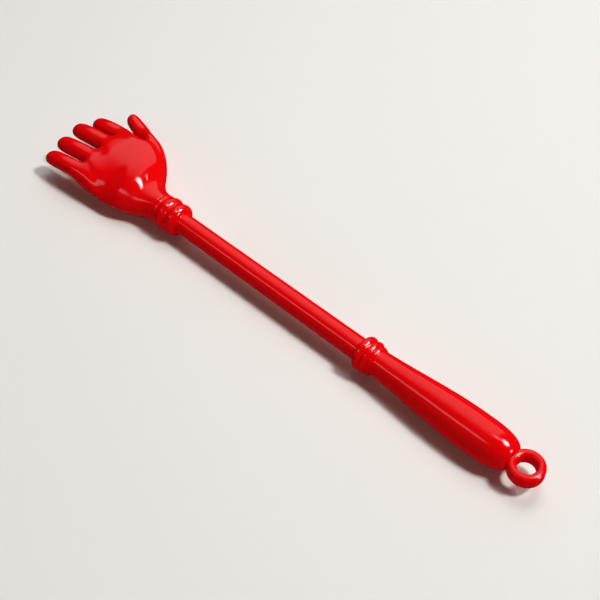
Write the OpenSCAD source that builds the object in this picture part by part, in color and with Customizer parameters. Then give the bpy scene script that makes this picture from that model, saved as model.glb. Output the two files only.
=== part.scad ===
// Back scratcher of glossy red moulded plastic, lying on its back on a table.
// A small hand, a beaded wrist collar, a slim shaft, a beaded grip collar,
// a club-shaped grip and a hanging ring are pushed together on round spigots.
// Millimetres. +X runs along the handle from the hand to the ring, +Y points to
// the thumb's side and +Z is up. The origin is below the middle, on the table.

/* [Hand] */
// Diameter of the wrist where it meets its collar
wrist_d = 17.6; // [15:0.1:19]
// Length of the palm, from the wrist face to the roots of the fingers
palm_l = 57; // [50:0.5:66]
// How far the row of fingers sits off the handle's axis, towards the thumb
palm_shift = 4; // [2:0.1:7]
// Height of the palm's crown above the handle's axis
palm_top = 13.5; // [11:0.1:15]
// Distance of the palm's crown from the handle's axis, towards the thumb
crown_y = 6; // [3:0.1:9]
// How far the palm falls from its crown to the little finger's side
flank_drop = 5; // [2:0.1:7]
// Depth of the heel of the hand below the handle's axis
heel_depth = 11; // [9.5:0.1:12]
// Thickness of the little finger
little_d = 9.8; // [8:0.1:10.4]
// Thickness of the ring finger
ring_finger_d = 10.2; // [8.5:0.1:11]
// Thickness of the middle finger
middle_d = 10.2; // [8.5:0.1:11]
// Thickness of the index finger
index_d = 9.4; // [8:0.1:10.4]
// Thickness of the thumb
thumb_d = 8.6; // [7:0.1:9.4]
// Length of the little finger beyond its root
little_l = 25.6; // [18:0.1:32]
// Length of the ring finger beyond its root
ring_finger_l = 27.5; // [20:0.1:36]
// Length of the middle finger beyond its root
middle_l = 27.5; // [20:0.1:36]
// Length of the index finger beyond its root
index_l = 21.8; // [16:0.1:30]
// Length of the thumb beyond its root
thumb_l = 26.6; // [22:0.1:36]
// Height of the little finger's root above the handle's axis
little_lift = 3.8; // [2:0.1:5.5]
// Height of the ring finger's root above the handle's axis
ring_finger_lift = 4.6; // [2:0.1:6]
// Height of the middle finger's root above the handle's axis
middle_lift = 5.2; // [2:0.1:6.5]
// Height of the index finger's root above the handle's axis
index_lift = 4; // [2:0.1:5.5]
// Height of the thumb above the handle's axis
thumb_lift = 1.8; // [0:0.1:4]
// How much further out each finger's root lies than its neighbour's, towards the thumb
knuckle_slant = 1.8; // [0:0.1:3]
// Gap between the little and ring fingers and between the middle and index fingers
finger_gap = 1.9; // [1.5:0.1:3.6]
// Gap between the ring and middle fingers
middle_gap = 3; // [2:0.1:4.4]
// How far the fingertips drop below the height of their roots
tip_drop = 3; // [0:0.1:6]
// Depth of the valley on the palm's top beside the thumb
thumb_valley = 1.6; // [0:0.1:2.5]
// Lean of the fingers away from the thumb, in degrees
finger_lean = 4; // [0:0.5:10]
// Lean of the thumb away from the fingers, in degrees
thumb_lean = 15.5; // [10:0.5:25]

/* [Wrist collar] */
// Outer diameter of the thin rib next to the hand
wrist_rib_d = 17.9; // [17.6:0.1:19]
// Width of that rib along the handle
wrist_rib_w = 3; // [2:0.1:3.6]
// Outer diameter of the bead next to the rib
wrist_bead_d = 19.6; // [18.5:0.1:22]
// Width of that bead along the handle
wrist_bead_w = 6.8; // [5:0.1:8]
// Outer diameter of the bead next to the shaft
shaft_bead_d = 19.2; // [18.5:0.1:22]
// Width of that bead along the handle
shaft_bead_w = 7.2; // [5:0.1:8]
// Diameter of the grooves between the rib and the beads
wrist_groove_d = 17.5; // [15:0.1:17.5]

/* [Shaft] */
// Visible length of the shaft
shaft_l = 131.6; // [90:0.2:200]
// Diameter of the shaft at the wrist collar
shaft_wrist_d = 12; // [10.5:0.1:13.5]
// Diameter of the shaft at the grip collar
shaft_grip_d = 12.6; // [11:0.1:14]
// Diameter of the spigot that holds the wrist collar and the hand
wrist_spigot_d = 8; // [6:0.1:9.5]
// Length of that spigot inside the hand
wrist_spigot_l = 14; // [8:0.5:20]
// Diameter of the spigot that holds the grip collar and the grip
grip_spigot_d = 8.6; // [6:0.1:10]
// Length of that spigot inside the grip
grip_spigot_l = 16; // [8:0.5:25]

/* [Grip collar] */
// Outer diameter of the bead next to the shaft
grip_bead_d = 18.9; // [17:0.1:22]
// Width of that bead along the handle
grip_bead_w = 5; // [4.4:0.1:7]
// Outer diameter of the bead next to the grip's rib
small_bead_d = 18.5; // [17:0.1:21]
// Width of that bead along the handle
small_bead_w = 3.6; // [3:0.1:5]
// Outer diameter of the thin rib next to the grip
grip_rib_d = 16.4; // [15.8:0.1:17]
// Width of that rib along the handle
grip_rib_w = 2.4; // [1.8:0.1:3]
// Diameter of the grooves between the beads and the rib
grip_groove_d = 15.6; // [14.4:0.1:15.6]

/* [Grip] */
// Length of the grip from its collar to the flat at its end
grip_l = 83; // [60:0.2:120]
// Diameter of the grip at its collar
grip_front_d = 14.2; // [13.2:0.1:15.4]
// Diameter of the grip at its thickest place
grip_d = 21.6; // [19:0.1:26]
// Length from the thickest place to the end of the grip
grip_end_l = 25; // [18:0.5:34]
// Diameter of the flat at the end of the grip
grip_flat_d = 9; // [8:0.1:11]

/* [Hanging ring] */
// Diameter of the hole in the ring
ring_hole_d = 9.6; // [7:0.1:14]
// Thickness of the ring's wall, from the hole to the outside
ring_wall = 4.4; // [4.3:0.1:6]
// Height of the ring along the axis of its hole
ring_h = 8; // [7.6:0.1:11]
// Radius of the ring's rounded edges
ring_edge_r = 2.1; // [1:0.1:2.1]
// Depth that the ring is let into the end of the grip
ring_sink = 2; // [0.5:0.1:3]
// Diameter of the ring's stub inside the grip
ring_stub_d = 5; // [4:0.1:6]
// Length of the ring's stub inside the grip
ring_stub_l = 10; // [6:0.5:15]

/* [Fits] */
// Clearance round each spigot and stub, on the radius
fit_clear = 0.05; // [0.02:0.01:0.15]
// Clearance beyond the end of each spigot and stub
end_clear = 0.4; // [0.2:0.1:1]

/* [Hidden] */
plastic_red = [0.80, 0.03, 0.03];
$fn = 64;

// Places along the handle, from the wrist face at 0 towards the ring
wrist_rib_at = wrist_rib_w / 2;
wrist_bead_at = wrist_rib_w + wrist_bead_w / 2;
shaft_bead_at = wrist_rib_w + wrist_bead_w + shaft_bead_w / 2;
// A bead is cut off square a little before its edge, so that it has a face to clamp
bead_trim = 0.4;
wrist_collar_l = wrist_rib_w + wrist_bead_w + shaft_bead_w - bead_trim;
shaft_end = wrist_collar_l + shaft_l;
grip_collar_l = grip_bead_w + small_bead_w + grip_rib_w - bead_trim;
grip_start = shaft_end + grip_collar_l;
grip_end = grip_start + grip_l;
ring_r = ring_hole_d / 2 + ring_wall;
ring_at = grip_end - ring_sink + ring_r;

// Smoothing pulls a square cage ring, and the 20-sided wrist, in by these shares
square_share = 0.93;
wrist_share = 0.98;
function cage(d) = d / 2 / square_share;
function mix(a, b, t) = a + (b - a) * t;
function total(list) = [for (p = list) 1] * list;

// The five digits, from the little finger to the thumb
digit_d = [little_d, ring_finger_d, middle_d, index_d, thumb_d];
digit_l = [little_l, ring_finger_l, middle_l, index_l, thumb_l];
digit_gap = [finger_gap, middle_gap, finger_gap];
digit_lift = [little_lift, ring_finger_lift, middle_lift, index_lift, thumb_lift];
row_w = total([for (i = [0:3]) digit_d[i]]) + total(digit_gap);
function finger_y(i) = palm_shift - row_w / 2 + digit_d[i] / 2
    + (i == 0 ? 0 : total([for (k = [0:i - 1]) digit_d[k] + digit_gap[k]]));
// How far the thumb's root is tucked in under the edge of the palm, and how far
// that edge stands outside the thumb's axis
thumb_tuck = 2.4;
thumb_edge = 1.2;
thumb_y = finger_y(3) + index_d / 2 + finger_gap + thumb_d / 2 - thumb_tuck;
// Edges of the digits' columns across the palm, from the little finger to the thumb
column = [for (i = [0:4]) let (y = i < 4 ? finger_y(i) : thumb_y + thumb_edge) each
    [y - cage(digit_d[i]), y + cage(digit_d[i])]];

// Palm sections from the wrist to the thumb's root. Each row holds the share of the palm's
// length, how far the little finger's side, the thumb's side, the heel and the crown have
// opened from the round wrist, how flat the section is on the little finger's side and on
// the thumb's, and its share of the flank's fall. Shares over 1 make up for the smoothing.
palm_rows = [
    [0.00, 0.00, 0.00, 0.00, 0.00, 0.0, 0.0, 0.00],
    [0.08, 0.03, 0.00, 0.10, -0.05, 0.0, 0.0, 0.00],
    [0.22, 0.35, 0.16, 0.75, -0.15, 0.0, 0.0, 0.10],
    [0.35, 0.80, 0.53, 1.10, 1.35, 0.0, 0.3, 0.55],
    [0.56, 0.94, 0.84, 1.10, 1.02, 0.0, 0.6, 1.00],
    [0.77, 0.98, 0.91, -0.40, 0.85, 0.5, 0.8, 0.40]];
// Share of the flank's fall that the underside follows
under_share = 0.3;
thumb_share = palm_rows[5][0];
thumb_root = thumb_share * palm_l;
// Two more sections, at the webs between the fingers and at the finger roots, and how
// far the underside of the first hangs below the fingers
web_share = 0.885;
root_share = 1;
web_drop = 4;
// Each palm section has ten points over its top and ten under it
wrist_r = wrist_d / 2 / wrist_share;
turn = 180 / 10;
function around(j) = 180 - turn / 2 - turn * j;
function flat_y(j, near, far) = mix(near, far, (column[j] - column[0]) / (column[9] - column[0]));
function palm_point(row, j) =
    let (near = mix(-wrist_r, column[0], row[1]), far = mix(wrist_r, column[9], row[2]),
        low = mix(-wrist_r, -heel_depth, row[3]), high = mix(wrist_r, palm_top, row[4]),
        t = j < 10 ? j : 19 - j,
        flat = t < 5 ? row[5] : row[6],
        y = mix((near + far) / 2 + (far - near) / 2 * cos(around(t)), flat_y(t, near, far), flat),
        up = mix(sin(around(t)), 1, flat),
        mid = (low + high) / 2,
        valley = j == 8 ? thumb_valley * row[2] : 0,
        fall = flank_drop * row[7] * max(0, (crown_y - y) / (crown_y - near)) * (j < 10 ? 1 : under_share))
    [-row[0] * palm_l, y, mid + ((j < 10 ? high : low) - mid) * up - valley - fall];
function knuckle_z(j) = let (i = floor((j < 8 ? j : 15 - j) / 2), h = cage(digit_d[i]))
    digit_lift[i] + (j < 8 ? h : -h);
function root_x(i) = -palm_l - knuckle_slant * (i - 1.5);
function row_point(share, drop, j) =
    let (t = j < 8 ? j : 15 - j, near_root = (share - thumb_share) / (1 - thumb_share))
    [mix(-thumb_root, root_x(floor(t / 2)), near_root), column[t],
        j < 8 ? mix(palm_point(palm_rows[5], j).z, knuckle_z(j), near_root) : knuckle_z(j) - drop];

// Rings of the digits: share of the length, and of the thickness on a finger and on the thumb
digit_rings = [[0.25, 1.0, 1.1], [0.58, 1.0, 1.06], [0.86, 0.96, 0.98], [1.0, 0.62, 0.64]];
function digit_centre(i, t) = i < 4
    ? [root_x(i) - digit_l[i] * t * cos(finger_lean), finger_y(i) - digit_l[i] * t * sin(finger_lean),
        digit_lift[i] - tip_drop * t * t]
    : [-thumb_root - thumb_l * t * cos(thumb_lean), thumb_y + thumb_l * t * sin(thumb_lean), thumb_lift];
function digit_ring(i, ring) =
    let (c = digit_centre(i, ring[0]), h = cage(digit_d[i]) * (i < 4 ? ring[1] : ring[2]))
    [c + [0, -h, h], c + [0, h, h], c + [0, h, -h], c + [0, -h, -h]];

// The cage: six palm loops of 20 points, two of 16, and four rings of 4 for each digit
cage_points = [
    for (row = palm_rows) for (j = [0:19]) palm_point(row, j),
    for (j = [0:15]) row_point(web_share, web_drop, j),
    for (j = [0:15]) row_point(root_share, 0, j),
    for (i = [0:4]) for (ring = digit_rings) each digit_ring(i, ring)];
web_start = 120;
root_start = 136;
digit_start = 152;
function thumb_loop(m) = 100 + (m < 8 ? m : m + 4);
function digit_root(i) = i < 4
    ? [root_start + 2 * i, root_start + 2 * i + 1, root_start + 14 - 2 * i, root_start + 15 - 2 * i]
    : [108, 109, 110, 111];
function digit_loop(i, k) = k == 0 ? digit_root(i) : [for (c = [0:3]) digit_start + i * 16 + (k - 1) * 4 + c];
function strip(a, b) = let (n = len(a)) [for (j = [0:n - 1]) [a[j], b[j], b[(j + 1) % n], a[(j + 1) % n]]];
cage_faces = [
    for (r = [0:4]) each strip([for (j = [0:19]) r * 20 + j], [for (j = [0:19]) r * 20 + 20 + j]),
    each strip([for (m = [0:15]) thumb_loop(m)], [for (m = [0:15]) web_start + m]),
    each strip([for (m = [0:15]) web_start + m], [for (m = [0:15]) root_start + m]),
    [107, 112, 111, 108],
    for (c = [1:2:5]) [root_start + c, root_start + 15 - c, root_start + 14 - c, root_start + c + 1],
    for (i = [0:4]) each [
        for (k = [0:3]) each strip(digit_loop(i, k), digit_loop(i, k + 1)),
        [for (c = [3:-1:0]) digit_loop(i, 4)[c]]]];

// Catmull-Clark smoothing of a cage of four-sided faces with one open loop
function smooth(points, faces) =
    let (count = len(points),
        middle = [for (f = faces) total([for (v = f) points[v]]) / 4],
        // One row for each corner of each face: its point, the next, the one before, the face
        corner = [for (f = [0:len(faces) - 1]) for (k = [0:3])
            [faces[f][k], faces[f][(k + 1) % 4], faces[f][(k + 3) % 4], f]],
        fan = [for (v = [0:count - 1]) search(v, corner, 0, 0)],
        // The face on the other side of the edge from a to b, or none on the open loop
        across = [for (c = corner) [for (r = fan[c[1]]) if (corner[r][1] == c[0]) corner[r][3]]],
        edges = [for (r = [0:len(corner) - 1]) let (c = corner[r])
            if (c[0] < c[1] || len(across[r]) == 0)
            [min(c[0], c[1]) * count + max(c[0], c[1]), c[0], c[1], c[3], across[r]]],
        key = [for (e = edges) e[0]],
        edge_points = [for (e = edges) len(e[4]) == 0
            ? (points[e[1]] + points[e[2]]) / 2
            : (points[e[1]] + points[e[2]] + middle[e[3]] + middle[e[4][0]]) / 4],
        vertex_points = [for (v = [0:count - 1])
            let (n = len(fan[v]),
                rim = [for (r = fan[v]) each [
                    if (len(across[r]) == 0) corner[r][1],
                    let (back = [for (s = fan[corner[r][2]]) if (corner[s][1] == v) s])
                    if (len(across[back[0]]) == 0) corner[r][2]]])
            len(rim) > 0
                ? points[v] * 3 / 4 + total([for (p = rim) points[p]]) / 8
                : (total([for (r = fan[v]) middle[corner[r][3]]]) / n
                    + total([for (r = fan[v]) points[corner[r][1]]]) / n + (n - 2) * points[v]) / n],
        edge_at = count,
        face_at = count + len(edges),
        place = [for (c = corner) edge_at + search(min(c[0], c[1]) * count + max(c[0], c[1]), key)[0]])
    [concat(vertex_points, edge_points, middle),
        [for (f = [0:len(faces) - 1]) for (k = [0:3])
            [faces[f][k], place[4 * f + k], face_at + f, place[4 * f + (k + 3) % 4]]]];

hand_once = smooth(cage_points, cage_faces);
hand_mesh = smooth(hand_once[0], hand_once[1]);
hand_points = hand_mesh[0];
hand_low = min([for (p = hand_points) p.z]);
hand_tip = min([for (p = hand_points) p.x]);
hand_near = min([for (p = hand_points) p.y]);
hand_far = max([for (p = hand_points) p.y]);

// The handle's axis is level, with the grip and the heel of the hand on the table
axis_h = max(grip_d / 2, -hand_low);
mid_x = (hand_tip + ring_at + ring_r) / 2;
mid_y = (hand_near + hand_far) / 2;

// Puts a piece that is modelled on the handle's axis into the part's frame
module placed() {
    translate([-mid_x, -mid_y, axis_h]) children();
}

// Turns an outline of (place along the handle, radius) round the handle's axis
module turned() {
    rotate([0, 90, 0]) rotate([0, 0, 90]) rotate_extrude() mirror([1, -1]) children();
}

// A plain round rod along the handle
module rod(d, from, to) {
    translate([from, 0, 0]) rotate([0, 90, 0]) cylinder(d = d, h = to - from);
}

// Outline of one bead: a round of its own width that stands out to its diameter
module bead(d, w, at) {
    intersection() {
        translate([at, d / 2 - w / 2]) circle(d = w);
        translate([at - w / 2, 0]) square([w, d]);
    }
}

// Sorts rows by their first value
function sorted(rows) = len(rows) < 2 ? rows :
    let (pivot = rows[floor(len(rows) / 2)][0])
    concat(sorted([for (r = rows) if (r[0] < pivot) r]),
        [for (r = rows) if (r[0] == pivot) r],
        sorted([for (r = rows) if (r[0] > pivot) r]));

module hand() {
    rim = [for (p = [0:len(hand_points) - 1]) if (abs(hand_points[p].x) < 0.001) p];
    angle = [for (p = rim) atan2(hand_points[p].z, hand_points[p].y)];
    ordered = sorted([for (k = [0:len(rim) - 1]) [angle[k], rim[k]]]);
    color(plastic_red) placed() difference() {
        polyhedron(
            points = hand_points,
            faces = concat(
                [for (f = hand_mesh[1]) each [[f[0], f[1], f[2]], [f[0], f[2], f[3]]]],
                [[for (k = [len(rim) - 1:-1:0]) ordered[k][1]]]));
        rod(wrist_spigot_d + 2 * fit_clear, -wrist_spigot_l - end_clear, 1);
    }
}

module wrist_collar() {
    color(plastic_red) placed() difference() {
        turned() intersection() {
            union() {
                bead(wrist_rib_d, wrist_rib_w, wrist_rib_at);
                bead(wrist_bead_d, wrist_bead_w, wrist_bead_at);
                bead(shaft_bead_d, shaft_bead_w, shaft_bead_at);
                square([shaft_bead_at, wrist_groove_d / 2]);
            }
            square([wrist_collar_l, wrist_bead_d]);
        }
        rod(wrist_spigot_d + 2 * fit_clear, -1, wrist_collar_l + 1);
    }
}

module shaft() {
    color(plastic_red) placed() union() {
        rod(wrist_spigot_d, -wrist_spigot_l, wrist_collar_l);
        translate([wrist_collar_l, 0, 0]) rotate([0, 90, 0])
            cylinder(d1 = shaft_wrist_d, d2 = shaft_grip_d, h = shaft_l);
        rod(grip_spigot_d, shaft_end, grip_start + grip_spigot_l);
    }
}

module grip_collar() {
    bead_at = grip_bead_w / 2 - bead_trim;
    small_bead_at = grip_bead_w - bead_trim + small_bead_w / 2;
    rib_at = grip_collar_l - grip_rib_w / 2;
    color(plastic_red) placed() difference() {
        translate([shaft_end, 0, 0]) turned() intersection() {
            union() {
                bead(grip_bead_d, grip_bead_w, bead_at);
                bead(small_bead_d, small_bead_w, small_bead_at);
                bead(grip_rib_d, grip_rib_w, rib_at);
                translate([bead_at, 0]) square([grip_collar_l - bead_at, grip_groove_d / 2]);
            }
            square([grip_collar_l, grip_bead_d]);
        }
        rod(grip_spigot_d + 2 * fit_clear, shaft_end - 1, grip_start + 1);
    }
}

// Radius of the grip along its length: a swelling, then a blunt round end
grip_thick_at = grip_l - grip_end_l;
grip_end_power = 3.6;
// Rate at which the grip opens from its collar, as a share of an even slope
grip_start_slope = 0.6;
function swell(t) = 3 * t * t - 2 * t * t * t + grip_start_slope * (t * t * t - 2 * t * t + t);
function grip_r(x) = x < grip_thick_at
    ? mix(grip_front_d, grip_d, swell(x / grip_thick_at)) / 2
    : mix(grip_flat_d, grip_d, sqrt(1 - pow((x - grip_thick_at) / grip_end_l, grip_end_power))) / 2;
swell_steps = 24;
end_steps = 18;

// Half section of the ring, with its edges rounded and its outside grown by a clearance
module ring_outline(grow) {
    inner = ring_hole_d / 2;
    for (x = [inner + ring_edge_r, ring_r - ring_edge_r])
        for (z = [-1, 1])
            translate([x, z * (ring_h / 2 - ring_edge_r)]) circle(r = ring_edge_r + grow);
    translate([inner - grow, ring_edge_r - ring_h / 2])
        square([ring_wall + 2 * grow, ring_h - 2 * ring_edge_r]);
    translate([inner + ring_edge_r, -ring_h / 2 - grow])
        square([ring_wall - 2 * ring_edge_r, ring_h + 2 * grow]);
}

// Inner end of the ring's stub
stub_end = ring_at - ring_r - ring_stub_l;

module grip() {
    stations = [
        for (k = [0:swell_steps - 1]) k / swell_steps * grip_thick_at,
        for (k = [0:end_steps]) grip_thick_at + grip_end_l * sin(90 * k / end_steps)];
    color(plastic_red) placed() difference() {
        translate([grip_start, 0, 0]) turned()
            polygon([[0, 0], for (x = stations) [x, grip_r(x)], [grip_l, 0]]);
        rod(grip_spigot_d + 2 * fit_clear, grip_start - 1, grip_start + grip_spigot_l + end_clear);
        rod(ring_stub_d + 2 * fit_clear, stub_end - end_clear, grip_end + 1);
        translate([ring_at, 0, 0]) rotate_extrude() ring_outline(fit_clear);
    }
}

module hanging_ring() {
    color(plastic_red) placed() union() {
        rod(ring_stub_d, stub_end, ring_at - ring_r + ring_wall / 2);
        translate([ring_at, 0, 0]) rotate_extrude() ring_outline(0);
    }
}

hand();
wrist_collar();
shaft();
grip_collar();
grip();
hanging_ring();
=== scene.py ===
import math

import bmesh
import bpy
from mathutils import Matrix, Quaternion, Vector


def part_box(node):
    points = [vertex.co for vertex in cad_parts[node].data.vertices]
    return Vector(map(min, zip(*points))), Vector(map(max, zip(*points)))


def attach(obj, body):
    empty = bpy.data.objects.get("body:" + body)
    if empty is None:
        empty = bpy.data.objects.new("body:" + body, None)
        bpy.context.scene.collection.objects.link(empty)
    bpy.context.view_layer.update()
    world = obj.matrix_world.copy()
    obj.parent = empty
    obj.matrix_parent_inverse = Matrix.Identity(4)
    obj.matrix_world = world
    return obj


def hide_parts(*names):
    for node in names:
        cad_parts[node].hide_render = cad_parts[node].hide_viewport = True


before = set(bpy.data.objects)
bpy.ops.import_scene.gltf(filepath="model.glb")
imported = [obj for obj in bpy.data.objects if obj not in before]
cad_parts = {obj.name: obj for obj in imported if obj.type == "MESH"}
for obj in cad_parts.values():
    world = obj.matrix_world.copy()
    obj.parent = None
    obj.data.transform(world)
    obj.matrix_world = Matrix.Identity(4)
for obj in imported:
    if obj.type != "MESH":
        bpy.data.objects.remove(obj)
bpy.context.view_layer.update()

# Shaft
# A slim round rod of polished red plastic, a little thicker towards the grip. It is turned
# round the handle's axis and has a thinner spigot at each end, which the collars sit on.
shaft_low, shaft_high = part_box("shaft")
axis_y, axis_z = (shaft_low.y + shaft_high.y) / 2, (shaft_low.z + shaft_high.z) / 2
wrist_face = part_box("wrist_collar")[0].x
# Pieces are drawn in millimetres from the wrist face, on the handle's axis
millimetre = 0.001
handle = Matrix.Translation((wrist_face, axis_y, axis_z)) @ Matrix.Scale(millimetre, 4)
wrist_collar_l, shaft_l, grip_collar_l = 16.6, 131.6, 10.6
shaft_wrist_r, shaft_grip_r = 6.0, 6.3
wrist_spigot_r, wrist_spigot_l = 4.0, 14.0
grip_spigot_r, grip_spigot_l = 4.3, 16.0
spigot_clear, end_clear = 0.05, 0.4
shaft_end = wrist_collar_l + shaft_l
grip_start = shaft_end + grip_collar_l
grip_spigot_end = grip_start + grip_spigot_l
seam_gap = 0.0005


def run_to(bm, tip, along, radius):
    """Draws the next straight run of a turning outline and returns its end."""
    end = bmesh.ops.extrude_vert_indiv(bm, verts=[tip])["verts"][0]
    end.co = (along, 0, radius)
    return end


def round_to(bm, tip, middle, degrees, steps):
    """Draws an arc of a turning outline about a point (along, radius) and returns its end."""
    arc = bmesh.ops.spin(bm, geom=[tip], cent=(middle[0], 0, middle[1]), axis=(0, 1, 0),
                         angle=math.radians(degrees), steps=steps)
    return next(v for v in arc["geom_last"] if isinstance(v, bmesh.types.BMVert))


def turn_outline(bm, steps=96):
    """Turns the drawn outline once round the handle's axis."""
    bmesh.ops.spin(bm, geom=bm.verts[:] + bm.edges[:], cent=(0, 0, 0), axis=(1, 0, 0),
                   angle=math.tau, steps=steps, use_merge=True)


def close_shell(bm):
    """Merges the seams and poles of a drawn shape and turns its faces outwards."""
    bmesh.ops.remove_doubles(bm, verts=bm.verts, dist=seam_gap)
    bmesh.ops.recalc_face_normals(bm, faces=bm.faces)


def finish_mesh(bm, name, material, node, sharp=35):
    """Closes a drawn piece, puts it on the handle and hangs it on the frame. Edges sharper than
    the given angle stay crisp."""
    close_shell(bm)
    bmesh.ops.transform(bm, matrix=handle, verts=bm.verts)
    mesh = bpy.data.meshes.new(name)
    bm.to_mesh(mesh)
    bm.free()
    mesh.shade_smooth()
    mesh.set_sharp_from_angle(angle=math.radians(sharp))
    mesh.materials.append(material)
    piece = bpy.data.objects.new(name, mesh)
    bpy.context.scene.collection.objects.link(piece)
    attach(piece, "root")
    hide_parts(node)
    return piece


def moulded_skin():
    """Node group: the slow waviness, mottled gloss and fine rub marks of a polished moulding."""
    group = bpy.data.node_groups.new("moulded_skin", "ShaderNodeTree")
    for name, kind, value in (("Vector", "NodeSocketVector", None),
                              ("Wave Scale", "NodeSocketFloat", 110.0),
                              ("Rub Stretch", "NodeSocketFloat", 0.06),
                              ("Rub Amount", "NodeSocketFloat", 0.5)):
        socket = group.interface.new_socket(name, in_out="INPUT", socket_type=kind)
        if value is not None:
            socket.default_value = value
    for name in ("Tint", "Gloss", "Height"):
        group.interface.new_socket(name, in_out="OUTPUT", socket_type="NodeSocketFloat")
    nodes, link = group.nodes, group.links.new
    given, result = nodes.new("NodeGroupInput"), nodes.new("NodeGroupOutput")
    wave, mottle, rub = (nodes.new("ShaderNodeTexNoise") for _ in range(3))
    link(given.outputs["Vector"], wave.inputs["Vector"])
    link(given.outputs["Wave Scale"], wave.inputs["Scale"])
    wave.inputs["Detail"].default_value = 1.0
    link(given.outputs["Vector"], mottle.inputs["Vector"])
    mottle.inputs["Scale"].default_value = 420.0
    mottle.inputs["Detail"].default_value = 4.0
    # Rub marks run along the handle, where it is wiped and held
    along = nodes.new("ShaderNodeCombineXYZ")
    link(given.outputs["Rub Stretch"], along.inputs["X"])
    along.inputs["Y"].default_value = along.inputs["Z"].default_value = 1.0
    stretched = nodes.new("ShaderNodeVectorMath")
    stretched.operation = "MULTIPLY"
    link(given.outputs["Vector"], stretched.inputs[0])
    link(along.outputs["Vector"], stretched.inputs[1])
    link(stretched.outputs["Vector"], rub.inputs["Vector"])
    rub.inputs["Scale"].default_value = 2600.0
    rub.inputs["Detail"].default_value = 2.0
    marks = nodes.new("ShaderNodeMapRange")
    marks.inputs["From Min"].default_value, marks.inputs["From Max"].default_value = 0.62, 0.80
    link(rub.outputs["Fac"], marks.inputs["Value"])
    shown = nodes.new("ShaderNodeMath")
    shown.operation = "MULTIPLY"
    link(marks.outputs["Result"], shown.inputs[0])
    link(given.outputs["Rub Amount"], shown.inputs[1])
    gloss = nodes.new("ShaderNodeMath")
    gloss.operation = "MAXIMUM"
    link(mottle.outputs["Fac"], gloss.inputs[0])
    link(shown.outputs["Value"], gloss.inputs[1])
    link(wave.outputs["Fac"], result.inputs["Tint"])
    link(gloss.outputs["Value"], result.inputs["Gloss"])
    link(wave.outputs["Fac"], result.inputs["Height"])
    return group


skin_group = moulded_skin()
deep_red, bright_red = (0.78, 0.0008, 0.0022), (0.84, 0.0012, 0.003)
polish_low, polish_high = 0.05, 0.13


def red_plastic(name, wave_scale, rub_stretch, rub_amount):
    """Glossy red moulded plastic: two close reds, a polished face and a very slight waviness."""
    material = bpy.data.materials.new(name)
    material.use_nodes = True
    nodes, link = material.node_tree.nodes, material.node_tree.links.new
    shader = nodes["Principled BSDF"]
    place = nodes.new("ShaderNodeTexCoord")
    skin = nodes.new("ShaderNodeGroup")
    skin.node_tree = skin_group
    link(place.outputs["Object"], skin.inputs["Vector"])
    skin.inputs["Wave Scale"].default_value = wave_scale
    skin.inputs["Rub Stretch"].default_value = rub_stretch
    skin.inputs["Rub Amount"].default_value = rub_amount
    colour = nodes.new("ShaderNodeMix")
    colour.data_type = "RGBA"
    colour.inputs["A"].default_value = (*deep_red, 1)
    colour.inputs["B"].default_value = (*bright_red, 1)
    link(skin.outputs["Tint"], colour.inputs["Factor"])
    link(colour.outputs["Result"], shader.inputs["Base Color"])
    rough = nodes.new("ShaderNodeMapRange")
    rough.inputs["From Min"].default_value, rough.inputs["From Max"].default_value = 0.3, 0.8
    rough.inputs["To Min"].default_value, rough.inputs["To Max"].default_value = polish_low, polish_high
    link(skin.outputs["Gloss"], rough.inputs["Value"])
    link(rough.outputs["Result"], shader.inputs["Roughness"])
    bump = nodes.new("ShaderNodeBump")
    bump.inputs["Strength"].default_value = 0.5
    bump.inputs["Distance"].default_value = 0.00004
    link(skin.outputs["Height"], bump.inputs["Height"])
    link(bump.outputs["Normal"], shader.inputs["Normal"])
    shader.inputs["IOR"].default_value = 1.49
    return material


shaft_plastic = red_plastic("shaft_red_plastic", 70, 0.05, 0.5)
bm = bmesh.new()
tip = bm.verts.new((-wrist_spigot_l, 0, 0))
for along, radius in ((-wrist_spigot_l, wrist_spigot_r), (wrist_collar_l, wrist_spigot_r),
                      (wrist_collar_l, shaft_wrist_r), (shaft_end, shaft_grip_r),
                      (shaft_end, grip_spigot_r), (grip_spigot_end, grip_spigot_r),
                      (grip_spigot_end, 0)):
    tip = run_to(bm, tip, along, radius)
turn_outline(bm)
finish_mesh(bm, "shaft_rod", shaft_plastic, "shaft")

# Wrist collar
# A short turned ring of the same plastic between the hand and the shaft: a thin rib on the
# hand's side, then two rounded beads with grooves between them. It slides over the spigot.
collar_plastic = red_plastic("collar_red_plastic", 80, 1.0, 0.25)
collar_sharp = 60
wrist_bore_r = wrist_spigot_r + spigot_clear
groove_r, shaft_side_r = 8.75, 7.65
# Place along the collar, diameter, width, and the radii where the rib or bead begins and ends
wrist_beads = ((1.5, 17.9, 3.0, groove_r, groove_r),
               (6.4, 19.6, 6.8, groove_r, groove_r),
               (13.4, 19.2, 7.2, groove_r, shaft_side_r))


def bead(bm, tip, at, diameter, width, start_r, stop_r, steps=16):
    """Draws one bead of a collar, from one radius over its top and down to another."""
    middle = (at, diameter / 2 - width / 2)
    start, stop = (math.degrees(math.acos((r - middle[1]) / (width / 2))) for r in (start_r, stop_r))
    tip = run_to(bm, tip, at - width / 2 * math.sin(math.radians(start)), start_r)
    return round_to(bm, tip, middle, start + stop, steps)


bm = bmesh.new()
start = bm.verts.new((0, 0, wrist_bore_r))
tip = run_to(bm, start, 0, groove_r)
for at, *bead_sizes in wrist_beads:
    tip = bead(bm, tip, at, *bead_sizes)
tip = run_to(bm, tip, wrist_collar_l, wrist_bore_r)
bm.edges.new((tip, start))
turn_outline(bm)
finish_mesh(bm, "wrist_collar_ring", collar_plastic, "wrist_collar", collar_sharp)

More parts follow.
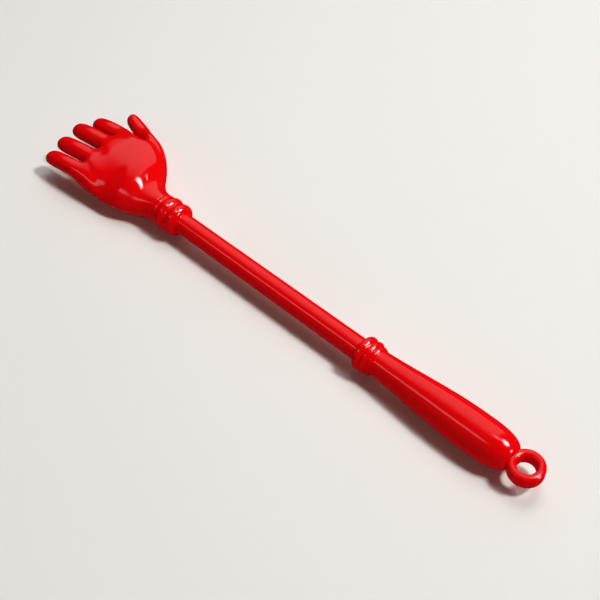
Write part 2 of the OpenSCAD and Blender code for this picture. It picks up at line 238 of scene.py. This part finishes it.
# Hand
# A small open hand with four straight fingers and a thumb, moulded in one piece with a round
# socket for the shaft's spigot. Loops of a cage run from the wrist to the fingertips, and
# the smoothing rounds them into the moulded skin.
hand_plastic = red_plastic("hand_red_plastic", 90, 0.4, 0.4)
wrist_d, palm_l, palm_shift, palm_top, heel_depth = 17.6, 57.0, 4.0, 13.5, 11.0
flank_drop, crown_y = 5.0, 6.0
# Little, ring, middle and index finger, then the thumb
digit_d = (9.8, 10.2, 10.2, 9.4, 8.6)
digit_l = (25.6, 27.5, 27.5, 21.8, 26.6)
digit_lift = (3.8, 4.6, 5.2, 4.0, 1.8)
digit_gap = (1.9, 3.0, 1.9)
knuckle_slant, tip_drop, finger_lean = 1.8, 3.0, math.radians(4)
thumb_lean, thumb_valley, thumb_tuck, thumb_edge = math.radians(15.5), 1.6, 2.4, 1.2
web_share, web_drop = 0.885, 4.0
# Smoothing draws a square ring and a 20-sided ring in to these shares of their size
square_share, round_share = 0.93, 0.98
# Share of the flank's drop that the hand's underside has
under_share = 0.3
# Share of the palm's length, how far the little finger's side, the thumb's side, the heel and
# the top have opened from the round wrist, how flat the little finger's half and the thumb's
# half are, and the share of the flank's drop
palm_rows = ((0.00, 0.00, 0.00, 0.0, 0.00, 0.0, 0.0, 0.0),
             (0.08, 0.03, 0.00, 0.1, -0.05, 0.0, 0.0, 0.0),
             (0.22, 0.35, 0.16, 0.75, -0.15, 0.0, 0.0, 0.1),
             (0.35, 0.80, 0.53, 1.1, 1.35, 0.0, 0.3, 0.55),
             (0.56, 0.94, 0.84, 1.1, 1.02, 0.0, 0.6, 1.0),
             (0.77, 0.98, 0.91, -0.4, 0.85, 0.5, 0.8, 0.4))
# Share of a digit's length, and the thickness of a finger and of the thumb there
digit_rows = ((0.25, 1.0, 1.1), (0.58, 1.0, 1.06), (0.86, 0.96, 0.98), (1.0, 0.62, 0.64))
half = [d / 2 / square_share for d in digit_d]
little_side = palm_shift - (sum(digit_d[:4]) + sum(digit_gap)) / 2
digit_y = [little_side + sum(digit_d[:i]) + sum(digit_gap[:i]) + digit_d[i] / 2 for i in range(4)]
digit_y.append(digit_y[3] + digit_d[3] / 2 + digit_gap[2] + digit_d[4] / 2 - thumb_tuck)
root_y = digit_y[:4] + [digit_y[4] + thumb_edge]
column = [y + side * h for y, h in zip(root_y, half) for side in (-1, 1)]
wrist_r = wrist_d / 2 / round_share
thumb_share = palm_rows[-1][0]
# Twenty points of a loop, from the little finger's side over the top and back under it
loop_turns = [math.radians(171 - 18 * j) for j in range(20)]


def mix(a, b, t):
    """A value part of the way from a to b."""
    return a + (b - a) * t


def palm_loop(row):
    """Twenty points round the palm, ten over the top and ten back under it."""
    share, near_open, far_open, low_open, high_open, near_flat, far_flat, drop = row
    near, far = mix(-wrist_r, column[0], near_open), mix(wrist_r, column[9], far_open)
    low, high = mix(-wrist_r, -heel_depth, low_open), mix(wrist_r, palm_top, high_open)
    middle = (low + high) / 2
    for j in range(20):
        t = j if j < 10 else 19 - j
        turn = loop_turns[t]
        flat = near_flat if t < 5 else far_flat
        spread = mix(near, far, (column[t] - column[0]) / (column[9] - column[0]))
        y = mix((near + far) / 2 + (far - near) / 2 * math.cos(turn), spread, flat)
        up = mix(math.sin(turn), 1, flat)
        valley = thumb_valley * far_open if j == 8 else 0
        fall = flank_drop * drop * max(0, (crown_y - y) / (crown_y - near)) * (1 if j < 10 else under_share)
        yield -share * palm_l, y, middle + ((high if j < 10 else low) - middle) * up - valley - fall


def finger_root(i):
    """Place along the handle of a finger's root."""
    return -palm_l - knuckle_slant * (i - 1.5)


brow = list(palm_loop(palm_rows[-1]))


def knuckle_loop(share, drop):
    """Sixteen points round the four finger roots, at a share of the palm's length."""
    near_root = (share - thumb_share) / (1 - thumb_share)
    for j in range(16):
        t = j if j < 8 else 15 - j
        i = t // 2
        along = mix(-thumb_share * palm_l, finger_root(i), near_root)
        top = mix(brow[t][2], digit_lift[i] + half[i], near_root)
        bottom = digit_lift[i] - half[i] - drop
        yield along, column[t], top if j < 8 else bottom


def next_loop(bm, loop, points):
    """Extrudes a closed loop of points and moves the new ones into place."""
    edges = [bm.edges.get((a, b)) for a, b in zip(loop, loop[1:] + loop[:1])]
    drawn = bmesh.ops.extrude_edge_only(bm, edges=edges)["geom"]
    fresh = {v for v in drawn if isinstance(v, bmesh.types.BMVert)}
    made = [next(e.other_vert(v) for e in v.link_edges if e.other_vert(v) in fresh) for v in loop]
    for v, point in zip(made, points):
        v.co = point
    return made


def fill(bm, *corners):
    """Closes four corners with a face."""
    return bmesh.ops.contextual_create(bm, geom=corners)["faces"][0]


bm = bmesh.new()
wrist = bmesh.ops.create_circle(bm, segments=20, radius=wrist_r)["verts"]
for v, point in zip(wrist, palm_loop(palm_rows[0])):
    v.co = point
loop = wrist
for row in palm_rows[1:]:
    loop = next_loop(bm, loop, palm_loop(row))
# The thumb's root and the web beside it close the side of the palm
fill(bm, loop[7], loop[8], loop[11], loop[12])
thumb_root = fill(bm, *loop[8:12])
loop = loop[:8] + loop[12:]
for share, drop in ((web_share, web_drop), (1.0, 0.0)):
    loop = next_loop(bm, loop, knuckle_loop(share, drop))
roots = [fill(bm, loop[2 * i], loop[2 * i + 1], loop[14 - 2 * i], loop[15 - 2 * i]) for i in range(4)]
roots.append(thumb_root)
for c in (1, 3, 5):
    fill(bm, loop[c], loop[c + 1], loop[14 - c], loop[15 - c])
for i, face in enumerate(roots):
    is_thumb = i == 4
    lean = thumb_lean if is_thumb else -finger_lean
    root = -thumb_share * palm_l if is_thumb else finger_root(i)
    drop = 0 if is_thumb else tip_drop
    for share, finger, thumb in digit_rows:
        reach, h = digit_l[i] * share, half[i] * (thumb if is_thumb else finger)
        centre = Vector((root - reach * math.cos(lean), digit_y[i] + reach * math.sin(lean),
                         digit_lift[i] - drop * share ** 2))
        middle = face.calc_center_median()
        face = bmesh.ops.extrude_discrete_faces(bm, faces=[face])["faces"][0]
        for v in face.verts:
            v.co = centre + Vector((0, h if v.co.y > middle.y else -h, h if v.co.z > middle.z else -h))
# The socket for the spigot is sunk into the wrist
socket_r, socket_floor = wrist_bore_r / round_share, -wrist_spigot_l - end_clear
socket_rim = [(socket_r * math.cos(turn), socket_r * math.sin(turn)) for turn in loop_turns]
mouth = next_loop(bm, wrist, [(0, y, z) for y, z in socket_rim])
floor_loop = next_loop(bm, mouth, [(socket_floor, y, z) for y, z in socket_rim])
bmesh.ops.contextual_create(bm, geom=floor_loop)
crease = bm.edges.layers.float.new("crease_edge")
for ring in (wrist, mouth, floor_loop):
    for a, b in zip(ring, ring[1:] + ring[:1]):
        bm.edges.get((a, b))[crease] = 1.0
hand = finish_mesh(bm, "open_hand", hand_plastic, "hand", 180)
smooth = hand.modifiers.new("moulded_skin", "SUBSURF")
smooth.levels = smooth.render_levels = 4

# Grip collar
# The second turned ring: a full bead on the shaft's side, a smaller one, then a thin rib
# against the grip. It sits on the shaft's back spigot.
grip_bore_r = grip_spigot_r + spigot_clear
front_r, bead_groove_r, grip_groove_r = 8.3, 8.1, 7.8
grip_beads = ((2.1, 18.9, 5.0, front_r, bead_groove_r),
              (6.4, 18.5, 3.6, bead_groove_r, grip_groove_r),
              (9.4, 16.4, 2.4, grip_groove_r, grip_groove_r))
bm = bmesh.new()
start = tip = bm.verts.new((shaft_end, 0, grip_bore_r))
for at, *bead_sizes in grip_beads:
    tip = bead(bm, tip, shaft_end + at, *bead_sizes)
tip = run_to(bm, tip, grip_start, grip_groove_r)
tip = run_to(bm, tip, grip_start, grip_bore_r)
bm.edges.new((tip, start))
turn_outline(bm)
finish_mesh(bm, "grip_collar_ring", collar_plastic, "grip_collar", collar_sharp)

# Grip
# A club-shaped round grip. It swells slowly from its collar to its thickest place, then
# closes in a blunt round end. A shallow seat and a bore in that end take the hanging ring.
grip_plastic = red_plastic("grip_red_plastic", 60, 0.1, 0.6)
grip_sharp = 50
grip_l, grip_end_l = 83.0, 25.0
grip_front_r, grip_thick_r, grip_flat_r = 7.1, 10.8, 4.5
grip_flare, grip_bluntness = 0.6, 3.6
swell_steps, end_steps = 48, 40
ring_hole_r, ring_wall, ring_h, ring_edge_r = 4.8, 4.4, 8.0, 2.1
ring_stub_r, ring_stub_l, ring_sink = 2.5, 10.0, 2.0
grip_thick_at = grip_l - grip_end_l
grip_end = grip_start + grip_l
grip_socket_floor = grip_spigot_end + end_clear
ring_r = ring_hole_r + ring_wall
ring_at = grip_end - ring_sink + ring_r
stub_bore_r, stub_floor = ring_stub_r + spigot_clear, grip_end - ring_sink - ring_stub_l - end_clear


def grip_r(x):
    """Radius of the grip at a place along it."""
    if x < grip_thick_at:
        t = x / grip_thick_at
        swell = 3 * t ** 2 - 2 * t ** 3 + grip_flare * (t ** 3 - 2 * t ** 2 + t)
        return mix(grip_front_r, grip_thick_r, swell)
    t = (x - grip_thick_at) / grip_end_l
    return mix(grip_flat_r, grip_thick_r, math.sqrt(max(0, 1 - t ** grip_bluntness)))


def ring_loop(clear):
    """The hanging ring's loop with its rounded edges, grown by a clearance."""
    bm = bmesh.new()
    inner, outer = ring_at + ring_hole_r - clear, ring_at + ring_r + clear
    top, edge_r = ring_h / 2 + clear, ring_edge_r + clear
    side = top - edge_r
    tip = bm.verts.new((inner, 0, -side))
    for corner, middle in (((inner, side), (inner + edge_r, side)),
                           ((outer - edge_r, top), (outer - edge_r, side)),
                           ((outer, -side), (outer - edge_r, -side)),
                           ((inner + edge_r, -top), (inner + edge_r, -side))):
        tip = run_to(bm, tip, *corner)
        tip = round_to(bm, tip, middle, 90, 8)
    bmesh.ops.spin(bm, geom=bm.verts[:] + bm.edges[:], cent=(ring_at, 0, 0), axis=(0, 0, 1),
                   angle=math.tau, steps=96, use_merge=True)
    return bm


def combine(bm, other, operation):
    """Cuts one drawn shape from another, or joins them into one shell."""
    shapes = []
    for drawn in (bm, other):
        close_shell(drawn)
        mesh = bpy.data.meshes.new("drawn")
        drawn.to_mesh(mesh)
        drawn.free()
        shapes.append(bpy.data.objects.new("drawn", mesh))
        bpy.context.scene.collection.objects.link(shapes[-1])
    tool = shapes[0].modifiers.new("combine", "BOOLEAN")
    tool.object, tool.operation, tool.solver = shapes[1], operation, "EXACT"
    made = bmesh.new()
    made.from_object(shapes[0], bpy.context.evaluated_depsgraph_get())
    for shape in shapes:
        bpy.data.meshes.remove(shape.data)
    return made


bm = bmesh.new()
tip = bm.verts.new((grip_socket_floor, 0, 0))
tip = run_to(bm, tip, grip_socket_floor, grip_bore_r)
tip = run_to(bm, tip, grip_start, grip_bore_r)
stations = [grip_thick_at * k / swell_steps for k in range(swell_steps)]
stations += [grip_thick_at + grip_end_l * math.sin(math.pi / 2 * k / end_steps) for k in range(end_steps + 1)]
for x in stations:
    tip = run_to(bm, tip, grip_start + x, grip_r(x))
for along, radius in ((grip_end, stub_bore_r), (stub_floor, stub_bore_r), (stub_floor, 0)):
    tip = run_to(bm, tip, along, radius)
turn_outline(bm)
bm = combine(bm, ring_loop(spigot_clear), "DIFFERENCE")
finish_mesh(bm, "grip_club", grip_plastic, "grip", grip_sharp)

# Hanging ring
# A thick little ring with rounded edges for a hook or cord, of the same plastic. It is let
# into the seat in the grip's end, and the stub behind it is set in the bore.
ring_plastic = red_plastic("ring_red_plastic", 80, 1.0, 0.25)
stub_root = ring_wall / 2
stub_middle = ring_at - ring_r + (stub_root - ring_stub_l) / 2
stub = bmesh.new()
bmesh.ops.create_cone(stub, cap_ends=True, segments=48, radius1=ring_stub_r, radius2=ring_stub_r,
                      depth=ring_stub_l + stub_root)
bmesh.ops.rotate(stub, verts=stub.verts, matrix=Matrix.Rotation(math.pi / 2, 3, "Y"))
bmesh.ops.translate(stub, verts=stub.verts, vec=(stub_middle, 0, 0))
bm = combine(ring_loop(0), stub, "UNION")
finish_mesh(bm, "hanging_ring_loop", ring_plastic, "hanging_ring", grip_sharp)

# Floor
# A plain pale table top under the object. Far from the object it fades into the pale
# background, so that a low view shows no dark edge.
pale, floor_colour = (0.82, 0.79, 0.765, 1), (0.80, 0.78, 0.743, 1)
floor_reach, fade_start, fade_end = 6.0, 0.4, 1.2
floor_mesh = bpy.data.meshes.new("floor")
bm = bmesh.new()
bmesh.ops.create_grid(bm, x_segments=1, y_segments=1, size=floor_reach)
bm.to_mesh(floor_mesh)
bm.free()
floor = bpy.data.objects.new("floor", floor_mesh)
bpy.context.scene.collection.objects.link(floor)
floor_paint = bpy.data.materials.new("pale_floor")
floor_paint.use_nodes = True
nodes, link = floor_paint.node_tree.nodes, floor_paint.node_tree.links.new
paint = nodes["Principled BSDF"]
paint.inputs["Base Color"].default_value = floor_colour
paint.inputs["Roughness"].default_value = 0.9
place, reach = nodes.new("ShaderNodeTexCoord"), nodes.new("ShaderNodeVectorMath")
reach.operation = "LENGTH"
link(place.outputs["Object"], reach.inputs[0])
far = nodes.new("ShaderNodeMapRange")
far.interpolation_type = "SMOOTHSTEP"
far.inputs["From Min"].default_value, far.inputs["From Max"].default_value = fade_start, fade_end
link(reach.outputs["Value"], far.inputs["Value"])
seen, shown = nodes.new("ShaderNodeLightPath"), nodes.new("ShaderNodeMath")
shown.operation = "MULTIPLY"
link(far.outputs["Result"], shown.inputs[0])
link(seen.outputs["Is Camera Ray"], shown.inputs[1])
haze, blend = nodes.new("ShaderNodeEmission"), nodes.new("ShaderNodeMixShader")
haze.inputs["Color"].default_value = pale
link(shown.outputs["Value"], blend.inputs["Fac"])
link(paint.outputs["BSDF"], blend.inputs[1])
link(haze.outputs["Emission"], blend.inputs[2])
link(blend.outputs["Shader"], nodes["Material Output"].inputs["Surface"])
floor_mesh.materials.append(floor_paint)
floor.visible_glossy = False

# Light
# A broad soft window behind the table and a strip in front of it make the long reflections.
# Small spots and cards make the bright ones on the palm, beads and grip's end. A key lamp
# high on the right and two fills, kept out of the reflections, light the object.
dark_room = (0.015, 0.015, 0.015, 1)


def lamp(name, place, aim, width, depth, power, fade=None, mirrored=True, lit=True,
         tint=(1, 1, 1), spread=180):
    """Area lamp facing a point. The fade gives the shares of its face over which its left, right,
    low and high edges dim, and the spread is the angle of its beam."""
    data = bpy.data.lights.new(name, "AREA")
    data.shape = "RECTANGLE"
    data.size, data.size_y, data.energy, data.color = width, depth, power, tint
    data.spread = math.radians(spread)
    if fade:
        data.use_nodes = True
        nodes, link = data.node_tree.nodes, data.node_tree.links.new
        where, split = nodes.new("ShaderNodeNewGeometry"), nodes.new("ShaderNodeSeparateXYZ")
        link(where.outputs["Parametric"], split.inputs["Vector"])
        level = None
        for axis, rim, share in zip("XXYY", (0.0, 1.0, 0.0, 1.0), fade):
            edge = nodes.new("ShaderNodeMapRange")
            edge.interpolation_type = "SMOOTHSTEP"
            edge.inputs["From Min"].default_value = rim
            edge.inputs["From Max"].default_value = abs(rim - share)
            link(split.outputs[axis], edge.inputs["Value"])
            if level is None:
                level = edge.outputs["Result"]
                continue
            both = nodes.new("ShaderNodeMath")
            both.operation = "MULTIPLY"
            link(level, both.inputs[0])
            link(edge.outputs["Result"], both.inputs[1])
            level = both.outputs["Value"]
        link(level, nodes["Emission"].inputs["Strength"])
    made = bpy.data.objects.new(name, data)
    made.location = place
    made.rotation_mode = "QUATERNION"
    made.rotation_quaternion = (Vector(aim) - Vector(place)).to_track_quat("-Z", "Y")
    made.visible_camera = False
    made.visible_glossy = mirrored
    made.visible_diffuse = lit
    bpy.context.scene.collection.objects.link(made)


# Place, the point it faces, width and depth in metres, then power in watts and faded edges
lamp("back_window", (-1.30, 0.889, 1.819), (-1.30, -0.259, 0.181), 3.0, 3.65, 24.0,
     (0.05, 0.14, 0.12, 0.55))
lamp("near_strip", (-0.32, -0.67, 0.74), (-0.32, 0, 0), 0.95, 0.24, 1.1, (0.2, 0.3, 0.3, 0.3), lit=False)
lamp("palm_glint", (0.64, 1.0, 1.61), (-0.1, 0, 0.02), 0.36, 0.36, 0.013, lit=False, spread=9)
lamp("right_spot", (1.84, 0.48, 0.73), (0.1, 0, 0), 0.5, 0.5, 24.0, (0.3, 0.3, 0.3, 0.3), lit=False)
lamp("hand_spot", (0.033, 0.061, 0.577), (-0.12, 0, 0), 0.14, 0.46, 0.33, (0.5, 0.5, 0.45, 0.45),
     lit=False, spread=40)
lamp("end_card", (0.236, 0.084, 0.238), (0.149, 0, 0.02), 0.15, 0.15, 0.12, (0.4, 0.4, 0.4, 0.4),
     lit=False, spread=44)
for name, at in (("wrist_card", -0.070), ("grip_card", 0.072)):
    lamp(name, (at + 0.038, 0.034, 0.073), (at, 0, 0.017), 0.05, 0.05, 0.035, (0.4, 0.4, 0.4, 0.4),
         lit=False, spread=50)
lamp("key", (1.22, 0.70, 2.12), (0, 0, 0), 0.42, 0.42, 46.5, mirrored=False)
lamp("back_fill", (-0.1, 0.42, 1.0), (0, 0, 0), 0.6, 0.6, 3.6, mirrored=False)
lamp("near_fill", (0.1, -1.09, 0.51), (0, 0, 0), 1.2, 0.7, 1.6, mirrored=False, tint=(1.0, 0.7, 0.62))
world = bpy.data.worlds.new("room")
world.use_nodes = True
nodes, link = world.node_tree.nodes, world.node_tree.links.new
seen, sky = nodes.new("ShaderNodeLightPath"), nodes.new("ShaderNodeMix")
sky.data_type = "RGBA"
sky.inputs["A"].default_value = dark_room
sky.inputs["B"].default_value = pale
link(seen.outputs["Is Camera Ray"], sky.inputs["Factor"])
link(sky.outputs["Result"], nodes["Background"].inputs["Color"])
bpy.context.scene.world = world

# Camera
# Looks down on the table at fifty degrees, with the handle running across the frame from the
# hand at the upper left to the ring at the lower right.
camera_place, camera_look = Vector((357.77, -273.30, 448.15)), Vector((-0.43608, 0.47285, -0.76562))
camera_roll = 0.0028
camera = bpy.data.objects.new("camera", bpy.data.cameras.new("camera"))
camera.data.sensor_width, camera.data.lens = 36, 67.11
camera.location = handle @ camera_place
camera.rotation_mode = "QUATERNION"
camera.rotation_quaternion = camera_look.to_track_quat("-Z", "Y")
camera.rotation_quaternion @= Quaternion((0, 0, 1), camera_roll)
bpy.context.scene.collection.objects.link(camera)
bpy.context.scene.camera = camera
bpy.context.scene.view_settings.view_transform = "Standard"
